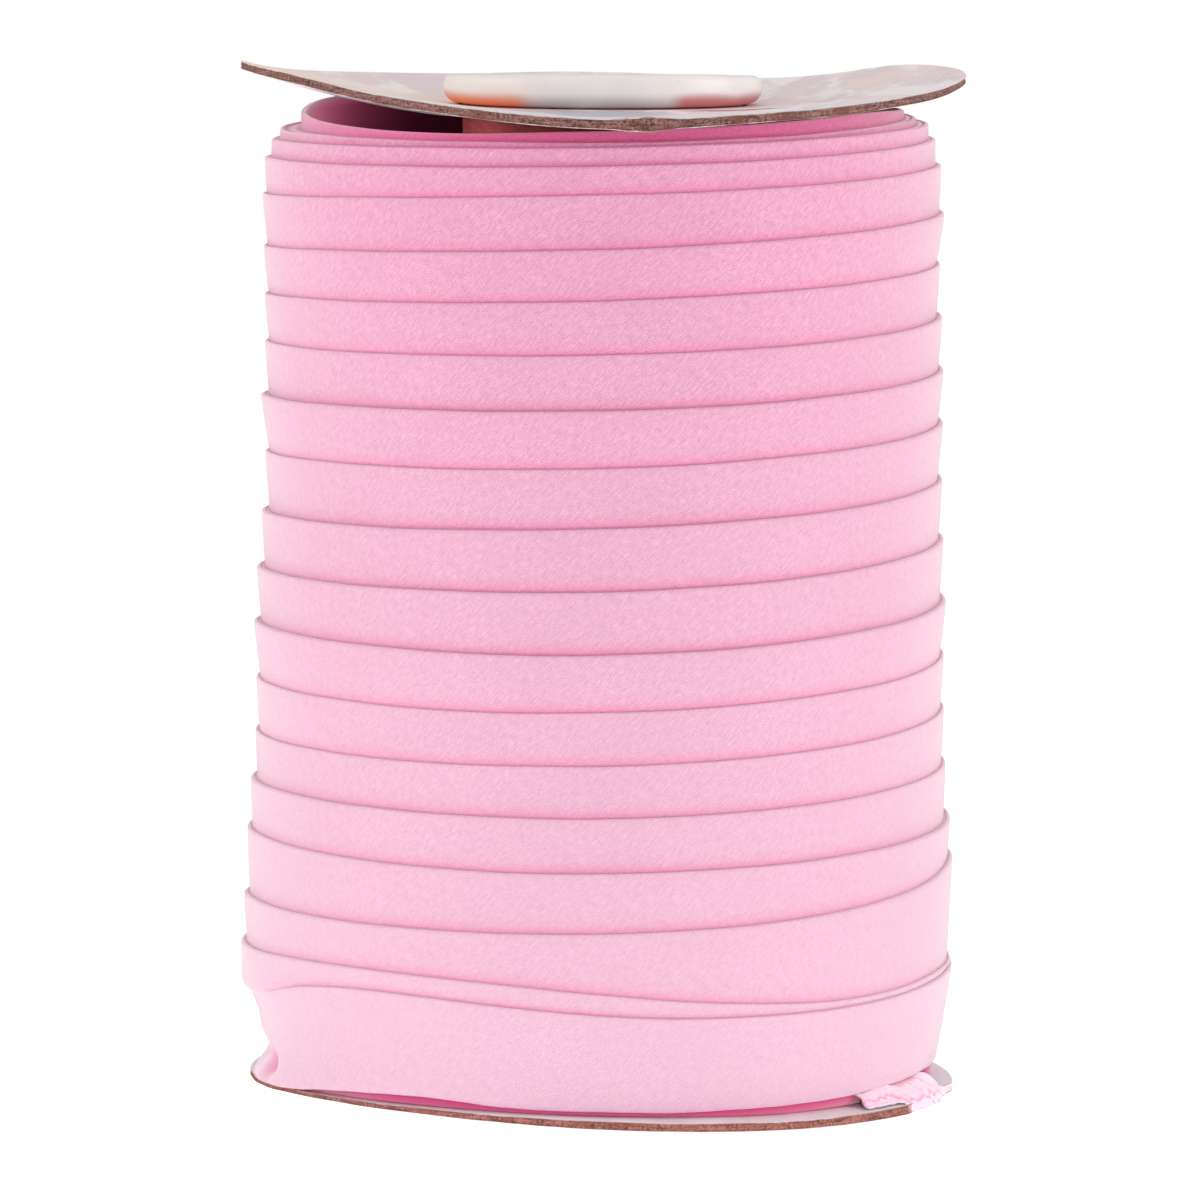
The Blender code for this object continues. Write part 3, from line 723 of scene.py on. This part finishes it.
def lower_rows(tape, turned):
    """The last turn below its belly, its lower folded edge and the underside."""
    azimuth = (90.0 - turned) % 360.0
    belly_radius, belly_height = ring_place(LOWER_BELLY, azimuth)
    foot_radius, foot_height = ring_place(LAST_FOOT, azimuth)
    upper_radius, upper_height = ring_place(UPPER_BELLY, azimuth)
    place = 360.0 * LAST_TURN + turned
    top_radius, top = tape.edge(place)
    foot_height += FOOT_WANDER * wander(place, 4.0, FOOT_WAVELENGTHS)
    profile = ((foot_height, foot_radius), (belly_height, belly_radius), (upper_height, upper_radius),
               (top, top_radius))
    heights = [mixed(upper_height, belly_height, share) for share in BELLY_SHARES]
    heights += [mixed(belly_height, foot_height, share) for share in FOOT_SHARES]
    rows = []
    for height in heights:
        radius, shade = smooth_through(profile, height), 0.0
        for centre, half_angle, level, half_height, depth, most in SQUEEZES:
            near = bell(azimuth, centre, half_angle) * bell(height, level, half_height)
            radius -= depth * near
            shade += most * near ** 1.2
        rows.append((radius, height, shade))
    rows += [(foot_radius - inward * MM, foot_height + up * MM, shade) for inward, up, shade in FOOT_FOLD]
    # The layers inside stand on the flange a little behind the last turn's foot.
    off_end = angle_off(azimuth, LAYERS_OPEN_AZIMUTH)
    opened = eased((LAYERS_OPEN_HALF_ANGLE + 2.0 - off_end) / LAYERS_OPEN_FADE)
    layers_radius = mixed(min(foot_radius - 0.75 * MM, LAYERS_RADIUS), LAYERS_OPEN_RADIUS, opened)
    deep = 1.0 - 0.06 * math.cos(math.radians(azimuth))
    shades = [shade * deep for shade in LAYERS_SHADES]
    resting = max(bottom_flange_top(layers_radius, azimuth) + 0.35 * MM, UNDERSIDE_LEAST)
    rows += [
        (mixed(foot_radius - 0.8 * MM, layers_radius, 0.1), foot_height + 0.9 * MM, shades[0]),
        (layers_radius, max(foot_height + 0.7 * MM, resting + 0.2 * MM), shades[1]),
        (layers_radius - 0.1 * MM, resting, shades[2]),
        (layers_radius - 2.5 * MM, max(resting, bottom_flange_top(layers_radius, azimuth) + 0.4 * MM), 1.0),
        (mixed(foot_radius, TUBE_RADIUS, 0.5), UNDERSIDE_HEIGHT + 0.4 * MM, 1.0),
        (TUBE_RADIUS + GAP, UNDERSIDE_HEIGHT, 1.0),
    ]
    return [(radius, height, top - height, shade) for radius, height, shade in rows]


def softened(point):
    """Small irregular shift outward of a point on the cloth."""
    x, y, z = point
    slow = noise.noise(Vector((x, y, 1.6 * z)) * 55.0)
    quick = noise.noise(Vector((x, y, 1.3 * z)) * 210.0 + Vector((7.0, 3.0, 1.0)))
    shift = (0.10 * slow + 0.035 * quick) * MM
    length = math.hypot(x, y)
    return (x + x / length * shift, y + y / length * shift, z)


def column_places():
    """Degrees turned of the winding's columns, closest together at the lower left."""
    places = []
    for first, last, count in COLUMN_RUNS:
        places += [mixed(first, last, number / count) for number in range(count)]
    return places


def build_winding():
    """Loft the wound tape between columns round the axis, one turn lower where it closes."""
    tape = Tape()
    points, places, shades = [], [], []
    columns = []

    def put(rows, turned, start):
        first = len(points)
        for radius, height, below, shade in rows:
            points.append(softened(on_circle(radius, 90.0 - turned, height)))
            places.append((start + turned, -below))
            shades.append(shade)
        return list(range(first, first + len(rows)))

    last_start = 360.0 * LAST_TURN
    for turned in column_places():
        upper = put(hollow_rows(tape, turned), turned, 0.0)
        turns = []
        for number in range(len(TURNS)):
            if turned == 0.0 and number == 0:
                turns.append([upper[-1]] * TURN_ROWS)
            else:
                turns.append(put(turn_rows(tape, 360.0 * number + turned), turned, 360.0 * number))
        lower = put(lower_rows(tape, turned), turned, last_start)
        columns.append((upper, turns, lower))

    faces, corners = [], []
    for step, (upper, turns, lower) in enumerate(columns):
        here = sum(turns, upper) + lower
        closes = step == len(columns) - 1
        next_upper, next_turns, next_lower = columns[0] if closes else columns[step + 1]
        if closes:
            next_turns = next_turns[1:] + [[next_turns[-1][-1]] * len(next_turns[-1])]
        beside = sum(next_turns, next_upper) + next_lower
        count = len(here)
        level = set(next_upper) | set(next_lower) if closes else set()
        for row in range(count):
            below = (row + 1) % count
            face = list(dict.fromkeys((here[row], here[below], beside[below], beside[row])))
            if len(face) < 3:
                continue
            faces.append(face)
            for index in face:
                place, across = places[index]
                if index in level:
                    place += 360.0
                corners += [math.radians(place) * TAPE_MEAN_RADIUS, across]
    mesh = cloth_mesh("wound_tape", points, faces, corners, shades)
    turn_outward(mesh)
    cloth = tape_material("Pink bias tape", UPPER_CLOTH, LOWER_CLOTH)
    return add_piece("wound_tape", mesh, [cloth], "winding")


# Flanges

FLANGE_COLUMNS = 480
PAPER = 0.16 * MM
PAPER_BEVEL = 0.04 * MM
EDGE_INSET = 0.14 * MM
# Where the rings of a flange's faces lie between its hole and its rim, and those of its edge.
FACE_SPANS = (0.0, 0.08, 0.2, 0.34, 0.48, 0.62, 0.74, 0.84, 0.92, 0.965, 0.99)
EDGE_SPANS = (0.02, 0.2, 0.4, 0.6, 0.8, 0.98)
PRESSED_REACH = 9.0 * MM
SWOLLEN_REACH = 6.0 * MM
FLANGE_SHARP_ANGLE = 38.0
# Material slots
UPPER_FACE, PAPER_EDGE, BOARD_EDGE, LOWER_FACE = range(4)


def warp_ramp(radius, rim_radius):
    """Share of the rim's lift that a flange has at a radius."""
    share = max(0.0, radius - WARP_START_RADIUS) / (rim_radius - WARP_START_RADIUS)
    return share ** WARP_POWER


def pressed_depth(pressed, radius, rim_radius, azimuth):
    """How much thinner the board is near its rim."""
    near = eased((radius - rim_radius + PRESSED_REACH) / PRESSED_REACH)
    return near * max(0.0, smooth_around(pressed, RIM_LIFT_SPACING, azimuth)) * MM


def bottom_flange_top(radius, azimuth):
    """Height of the lower flange's upper face."""
    lift = smooth_around(BOTTOM_RIM_LIFT, RIM_LIFT_SPACING, azimuth) * MM
    thinner = pressed_depth(BOTTOM_RIM_PRESSED, radius, BOTTOM_FLANGE_RADIUS, azimuth)
    level = BOTTOM_FLANGE_BASE + FLANGE_THICKNESS - thinner
    return level + lift * warp_ramp(radius, BOTTOM_FLANGE_RADIUS)


def dent_depth(dents, azimuth):
    """How far the rim is dented in. A dent is (azimuth, half width, side, millimetres)."""
    return sum(most * MM * eased((half_width - angle_off(azimuth, centre)) / side)
               for centre, half_width, side, most in dents)


def build_flange(name, base, rim_radius, rim_lift, pressed, dents, shift, swelling, nicks, materials,
                 replaced):
    """Warped board disc with a paper on each face.

    The swelling is (azimuth, half width, up, down), and a nick is (azimuth, half width, depth).
    """
    hole, top = FLANGE_HOLE_RADIUS, FLANGE_THICKNESS
    flat_radii = [hole + span * (rim_radius - hole) for span in FACE_SPANS] + [rim_radius - 0.06 * MM]
    profile = [(radius, top, UPPER_FACE) for radius in flat_radii]
    profile += [(rim_radius, top - PAPER_BEVEL, PAPER_EDGE), (rim_radius, top - PAPER, PAPER_EDGE)]
    for span in EDGE_SPANS:
        height = mixed(top - PAPER - 0.02 * MM, PAPER + 0.02 * MM, span)
        profile.append((rim_radius - EDGE_INSET, height, BOARD_EDGE))
    profile += [(rim_radius, PAPER, PAPER_EDGE), (rim_radius, PAPER_BEVEL, PAPER_EDGE)]
    profile += [(radius, 0.0, LOWER_FACE) for radius in reversed(flat_radii)]
    points = []
    swell_at, swell_half, swell_up, swell_down = swelling
    for column in range(FLANGE_COLUMNS):
        azimuth = 360.0 * column / FLANGE_COLUMNS
        lift = smooth_around(rim_lift, RIM_LIFT_SPACING, azimuth) * MM
        dent = dent_depth(dents, azimuth)
        swell = eased(1.0 - angle_off(azimuth, swell_at) / swell_half)
        swell *= 1.0 + 0.5 * bumpy(azimuth * 0.9, 4.0, 1.0)
        nicked = sum(depth * bell(azimuth, place, half) for place, half, depth in nicks)
        for radius, height, kind in profile:
            ramp = warp_ramp(radius, rim_radius)
            near = eased((radius - rim_radius + SWOLLEN_REACH) / SWOLLEN_REACH)
            thinner = pressed_depth(pressed, radius, rim_radius, azimuth)
            height -= thinner * height / FLANGE_THICKNESS
            height += swell * near * mixed(-swell_down, swell_up, height / FLANGE_THICKNESS)
            worn = radius - dent * ramp ** DENT_FADE_POWER
            rough = noise.noise(Vector(on_circle(9.0, azimuth, height * 700.0)) * 3.0)
            slow = noise.noise(Vector(on_circle(2.0, azimuth, 5.0)) * 3.0)
            worn += near * (0.10 * slow + (0.13 if kind == BOARD_EDGE else 0.03) * rough) * MM
            worn -= near * nicked
            wave = bumpy(*on_circle(radius * 60.0, azimuth, 2.0))
            x, y, z = on_circle(worn, azimuth, base + height + lift * ramp + 0.12 * MM * wave * ramp)
            points.append((x + shift, y, z))
    slots = []
    for row, following in zip(profile, profile[1:]):
        kinds = row[2], following[2]
        slots.append(BOARD_EDGE if BOARD_EDGE in kinds else PAPER_EDGE if PAPER_EDGE in kinds else row[2])
    # The last row of faces is the bare board round the hole.
    slots.append(BOARD_EDGE)
    mesh = turned_mesh(name, points, FLANGE_COLUMNS, slots, FLANGE_SHARP_ANGLE)
    return add_piece(name, mesh, materials, replaced)


# Card tube

TUBE_COLUMNS = 180
TUBE_MIDDLE = 100.0 * MM
TUBE_SHARP_ANGLE = 50.0
CURL_STEPS = 26
CURL_LAST_ANGLE = 165.0
CURL_SQUARENESS_OUT = 0.58
CURL_SQUARENESS_IN = 0.95
CURL_CENTRE_RADIUS = (TUBE_BORE_RADIUS + CURL_RADIUS) / 2.0
CURL_HALF_WIDTH = (CURL_RADIUS - TUBE_BORE_RADIUS) / 2.0
TOP_CURL_LEAN = 0.2
# Material slots
GLOSS_CARD, WALL_CARD, BORE_CARD = range(3)


def curl_rows(centre_height, height, first_angle, last_angle, outward):
    """Section of a curled end, squarer on the side that faces outward along the tube."""
    rows = []
    for number in range(CURL_STEPS + 1):
        angle = math.radians(mixed(first_angle, last_angle, number / CURL_STEPS))
        cosine, sine = math.cos(angle), math.sin(angle)
        squareness = CURL_SQUARENESS_OUT if sine * outward > 0.0 else CURL_SQUARENESS_IN
        across = CURL_HALF_WIDTH * math.copysign(abs(cosine) ** squareness, cosine)
        up = height / 2.0 * math.copysign(abs(sine) ** squareness, sine)
        rows.append((CURL_CENTRE_RADIUS + across, centre_height + up, GLOSS_CARD))
    return rows


def build_tube():
    wall_angle = math.degrees(math.acos((TUBE_RADIUS - CURL_CENTRE_RADIUS) / CURL_HALF_WIDTH))
    top_centre = TOP_FLANGE_BASE + FLANGE_THICKNESS + GAP + TOP_CURL_HEIGHT / 2.0
    foot_centre = FOOT_CURL_HEIGHT / 2.0 * math.cos(math.radians(FOOT_FLAT_HALF_ANGLE))
    seat = top_centre - TOP_CURL_HEIGHT / 2.0
    profile = curl_rows(top_centre, TOP_CURL_HEIGHT, CURL_LAST_ANGLE, -wall_angle, 1.0)
    profile += [(TUBE_RADIUS, seat - 0.4 * MM, WALL_CARD),
                (TUBE_RADIUS, foot_centre + FOOT_CURL_HEIGHT / 2.0 + 0.4 * MM, WALL_CARD)]
    profile += curl_rows(foot_centre, FOOT_CURL_HEIGHT, wall_angle, -CURL_LAST_ANGLE, -1.0)
    profile += [(TUBE_BORE_RADIUS, foot_centre + 1.0 * MM, BORE_CARD),
                (TUBE_BORE_RADIUS, top_centre - 1.0 * MM, BORE_CARD)]
    points = []
    for column in range(TUBE_COLUMNS):
        azimuth = 360.0 * column / TUBE_COLUMNS
        for radius, height, kind in profile:
            shift = 0.0
            if kind == GLOSS_CARD and height > TUBE_MIDDLE:
                shift = 0.12 * MM * bumpy(*on_circle(radius * 90.0, azimuth, height * 90.0))
            if height > seat:
                height = seat + (height - seat) * (1.0 - TOP_CURL_LEAN * math.sin(math.radians(azimuth)))
            points.append(on_circle(radius + shift, azimuth, max(0.0, height + shift)))
    slots = [max(row[2], following[2]) for row, following in zip(profile, profile[1:] + profile[:1])]
    mesh = turned_mesh("card_tube", points, TUBE_COLUMNS, slots, TUBE_SHARP_ANGLE)
    # The wall's pink-red is painted light: the tape's pink reflected onto brown card, which shows bare in
    # the bore.
    wall = kraft_material("Tube wall with painted pink light", srgb(212, 96, 96), srgb(238, 124, 122), srgb(226, 112, 108))
    bore = kraft_material("Bare tube card", srgb(118, 84, 66), srgb(164, 124, 102), srgb(142, 104, 84))
    materials = [gloss_card_material("White curled card"), wall, bore]
    return add_piece("card_tube", mesh, materials, "core_tube")


# Loose end of the tape

END_THICKNESS = 0.45 * MM
# It lies flat on the flange from under the last turn out to its bend, and hangs from there.
END_INNER_RADIUS = 60.5 * MM
END_FLAT_RADIUS = 68.0 * MM
END_BEND_RADIUS = 0.9 * MM
END_DROP = 1.5 * MM
# Azimuths: its first edge, its last edge at both rims, and where it starts to hang and hangs fully.
END_FIRST = 319.4
END_LAST_INSIDE = 338.0
END_LAST_OUTSIDE = 352.0
END_HANG_START = 327.0
END_HANG_FULL = 331.5
END_CRUMPLE = 0.9 * MM
END_LAYER = 0.55 * MM
END_CLEARANCE = GAP + 0.25 * MM
END_TUCK = 0.95 * MM
# An upper layer ends in a torn edge at this share of the way out.
TORN_AT = 0.8
TORN_STEP = 0.022
TORN_SHADE = 0.7
COVERED_SHADE = 0.7
END_STEPS_ALONG = 110
END_STEPS_ACROSS = 64
END_FLAT_SIZE = (0.0105, 0.0315)


def loose_end_point(along, across):
    """A place on the loose end and how deeply shaded it is."""
    last = mixed(END_LAST_INSIDE, END_LAST_OUTSIDE, max(0.0, across - 0.5) / 0.5)
    azimuth = mixed(END_FIRST, last, along)
    azimuth += 1.1 * bumpy(across * 5.0, 9.0, 2.0) * (eased(along * 4.0 - 3.0) + 0.35)
    hang = eased((azimuth - END_HANG_START) / (END_HANG_FULL - END_HANG_START))
    ending = eased((along - 0.8) / 0.2)
    bend_length = END_BEND_RADIUS * math.pi / 2.0
    ragged = 0.5 * MM * bumpy(along * 26.0, 3.0, 1.0) + 0.25 * MM * bumpy(along * 90.0, 5.0, 1.0)
    flat_length = END_FLAT_RADIUS + 0.4 * MM * hang - END_INNER_RADIUS - END_BEND_RADIUS
    hanging = bend_length + END_DROP * (1.0 - 0.75 * ending)
    distance = across * (flat_length + mixed(END_BEND_RADIUS, hanging, hang) + ragged)
    radius = END_INNER_RADIUS + min(distance, flat_length)
    drop = 0.0
    if distance > flat_length:
        over = distance - flat_length
        bend = min(over / END_BEND_RADIUS, math.pi / 2.0) * hang
        radius += END_BEND_RADIUS * math.sin(bend) + (1.0 - hang) * over
        drop = END_BEND_RADIUS * (1.0 - math.cos(bend)) + hang * max(0.0, over - bend_length)
    shown = eased((across - 0.45) / 0.2)
    folds = 0.5 + 0.5 * math.sin(2.3 * math.tau * along + 5.0 * across + 0.8)
    creases = abs(bumpy(along * 8.0, across * 3.0, 0.5))
    outermost = eased((across - 0.72) / 0.25)
    lift = END_CRUMPLE * shown * (0.35 * folds + 0.8 * creases) * (1.0 - 0.9 * outermost)
    torn = TORN_AT + 0.07 * bumpy(along * 14.0, 1.0, 7.0) + 0.03 * bumpy(along * 47.0, 2.0, 3.0)
    lift += END_LAYER * eased((torn - across) / TORN_STEP)
    shade = TORN_SHADE * bell(across - torn, 0.012, 0.02) * (1.0 - ending)
    shade += COVERED_SHADE * eased((0.60 - across) / 0.08)
    foot_radius, foot_height = ring_place(LAST_FOOT, azimuth)
    lying = bottom_flange_top(min(radius, END_FLAT_RADIUS), azimuth) + END_CLEARANCE
    out = eased((radius - foot_radius + 0.2 * MM) / (END_FLAT_RADIUS - foot_radius))
    height = mixed(foot_height - END_TUCK, lying, out) - drop
    return on_circle(radius, azimuth, height + lift), shade


def build_loose_end():
    points, faces, corners, shades = [], [], [], []
    for column in range(END_STEPS_ALONG + 1):
        for row in range(END_STEPS_ACROSS + 1):
            point, shade = loose_end_point(column / END_STEPS_ALONG, row / END_STEPS_ACROSS)
            points.append(point)
            shades.append(shade)
    stride = END_STEPS_ACROSS + 1
    width, length = END_FLAT_SIZE
    for column in range(END_STEPS_ALONG):
        for row in range(END_STEPS_ACROSS):
            first = column * stride + row
            face = (first, first + 1, first + stride + 1, first + stride)
            faces.append(face)
            for index in face:
                corners += [(index // stride) / END_STEPS_ALONG * length,
                            (index % stride) / END_STEPS_ACROSS * width]
    mesh = cloth_mesh("tape_end", points, faces, corners, shades)
    # Its paler colours are painted light.
    cloth = tape_material("Pink tape end", END_CLOTH_PAINTED_LIGHT, END_CLOTH_PAINTED_LIGHT)
    piece = add_piece("tape_end", mesh, [cloth], "loose_end")
    solidify = piece.modifiers.new("Thickness", "SOLIDIFY")
    solidify.thickness = END_THICKNESS
    solidify.offset = 0.0
    return piece


# Studio


FLOOR_CORNERS = ((-3.0, -2.0, 0.0), (3.0, -2.0, 0.0), (3.0, 9.0, 0.0), (-3.0, 9.0, 0.0))
FLOOR_GLOW = 0.45
WORLD_STRENGTH = 0.62
WHITE = (1.0, 1.0, 1.0)
# Softboxes: name, place, target, width, height, power, colour and spread in degrees.
SOFTBOXES = (
    ("left_softbox", (-1.15, -0.12, 0.3), (0.0, 0.0, 0.1), 0.9, 1.0, 8.3, (1.0, 0.99, 0.97), 180.0),
    ("right_softbox", (1.15, -0.12, 0.3), (0.0, 0.0, 0.1), 0.9, 1.0, 8.3, (1.0, 0.99, 0.97), 180.0),
    ("front_softbox", (0.1, -1.9, 0.6), (0.0, 0.0, 0.1), 1.0, 0.8, 5.5, WHITE, 180.0),
    ("level_softbox", (0.0, -0.9, 0.05), (0.0, 0.0, 0.15), 0.7, 0.06, 0.8, WHITE, 180.0),
    ("low_softbox", (0.0, -0.30, 0.012), (0.0, -0.07, 0.05), 0.5, 0.02, 0.12, (1.0, 0.98, 0.95), 180.0),
    ("hollow_light", (-0.024, -0.040, 0.1900), (-0.056, 0.012, 0.1905), 0.02, 0.002, 0.0014,
     (1.0, 0.95, 0.95), 50.0),
)


def build_floor():
    mesh = bpy.data.meshes.new("floor")
    mesh.from_pydata(FLOOR_CORNERS, [], [(0, 1, 2, 3)])
    floor = linked("floor", mesh)
    n = Nodes("Pale floor")
    tone = n.noise(n.place(), 3.0, 2.0)
    colour = n.mix(n.spread(tone, 0.2, 0.8), (0.88, 0.88, 0.88, 1.0), (0.90, 0.90, 0.90, 1.0))
    mesh.materials.append(n.finish(Base_Color=colour, Roughness=0.9, Specular_IOR_Level=0.1,
                                   Emission_Color=(*WHITE, 1.0), Emission_Strength=FLOOR_GLOW))


def aimed(place, target):
    """Where a lamp or camera stands and how it turns to look at a target."""
    turn = (Vector(target) - Vector(place)).to_track_quat("-Z", "Y")
    return Matrix.Translation(place) @ turn.to_matrix().to_4x4()


def build_lights():
    world = bpy.data.worlds.new("White studio")
    bpy.context.scene.world = world
    world.use_nodes = True
    background = world.node_tree.nodes["Background"]
    background.inputs["Color"].default_value = (*WHITE, 1.0)
    background.inputs["Strength"].default_value = WORLD_STRENGTH
    for name, position, target, width, height, power, colour, spread in SOFTBOXES:
        light = bpy.data.lights.new(name, "AREA")
        light.shape = "RECTANGLE"
        light.size, light.size_y = width, height
        light.energy = power
        light.color = colour
        light.spread = math.radians(spread)
        lamp = linked(name, light)
        lamp.matrix_world = aimed(position, target)
        lamp.visible_camera = False


CAMERA_PLACE = (0.0, -1.547, 0.2545)
CAMERA_TARGET = (0.0, 0.0, 0.09846)
CAMERA_ROLL = 0.30
CAMERA_LENS = 240.0
CAMERA_SENSOR = 36.0


def build_camera():
    data = bpy.data.cameras.new("camera")
    data.lens = CAMERA_LENS
    data.sensor_width = CAMERA_SENSOR
    camera = linked("camera", data)
    roll = Matrix.Rotation(math.radians(CAMERA_ROLL), 4, "Z")
    camera.matrix_world = aimed(CAMERA_PLACE, CAMERA_TARGET) @ roll
    bpy.context.scene.camera = camera


LABEL_BASE = srgb(245, 226, 229)
LABEL_CLOUDS = (srgb(234, 215, 219), srgb(253, 243, 243), srgb(246, 223, 219))
LABEL_SPOTS = (
    (-30.0 * MM, -30.0 * MM, 12.0 * MM, srgb(226, 138, 96)),
    (26.0 * MM, -35.0 * MM, 11.0 * MM, srgb(170, 84, 92)),
    # Grey-blue spot at the front middle: painted shade in front of the upper curled end.
    (-2.0 * MM, -47.0 * MM, 20.0 * MM, srgb(186, 186, 198)),
    (-56.0 * MM, -8.0 * MM, 46.0 * MM, srgb(254, 232, 217)),
)
# A painted highlight: a pale blue-white line along the label's front rim.
LABEL_RIM_HIGHLIGHT = (65.5 * MM, 66.8 * MM, srgb(224, 234, 242))
LABEL_GLOSS = 0.1
PLAIN_BASE = srgb(232, 228, 232)
PLAIN_CLOUDS = (srgb(222, 218, 222), srgb(230, 224, 228), srgb(234, 232, 234))
PLAIN_GLOSS = 0.35
# The cut edge of the board: dark, light and patches, and from where paper covers it at the right.
# That is past the rim of the upper flange, so its edge is all bare.
UPPER_BOARD = (srgb(76, 48, 44), srgb(152, 110, 104), srgb(110, 70, 58), 75.0 * MM)
LOWER_BOARD = (srgb(104, 58, 48), srgb(176, 118, 108), srgb(142, 84, 74), 60.5 * MM)
UPPER_SWELLING = (276.5, 6.5, 0.5 * MM, 0.5 * MM)
NO_SWELLING = (0.0, 1.0, 0.0, 0.0)
UPPER_NICKS = ((245.0, 0.35, 0.5 * MM), (181.0, 3.0, 0.35 * MM))


def main():
    bpy.context.scene.view_settings.view_transform = "Standard"
    build_camera()
    build_lights()
    build_floor()
    build_winding()
    paper_edge = paper_edge_material("Paper edge")
    upper_edge = board_edge_material("Upper board edge", *UPPER_BOARD)
    lower_edge = board_edge_material("Lower board edge", *LOWER_BOARD)
    label = face_paper_material("Glossy label paper", LABEL_BASE, LABEL_CLOUDS, LABEL_SPOTS,
                                LABEL_RIM_HIGHLIGHT, LABEL_GLOSS)
    plain = face_paper_material("Glossy white paper", PLAIN_BASE, PLAIN_CLOUDS, (), None, PLAIN_GLOSS)
    build_flange("upper_flange", TOP_FLANGE_BASE, TOP_FLANGE_RADIUS, TOP_RIM_LIFT, TOP_RIM_PRESSED, (), 0.0,
                 UPPER_SWELLING, UPPER_NICKS, [label, paper_edge, upper_edge, plain], "top_flange")
    build_flange("lower_flange", BOTTOM_FLANGE_BASE, BOTTOM_FLANGE_RADIUS, BOTTOM_RIM_LIFT,
                 BOTTOM_RIM_PRESSED, BOTTOM_RIM_DENTS, BOTTOM_FLANGE_SHIFT, NO_SWELLING, (),
                 [plain, paper_edge, lower_edge, plain], "bottom_flange")
    build_tube()
    build_loose_end()


main()
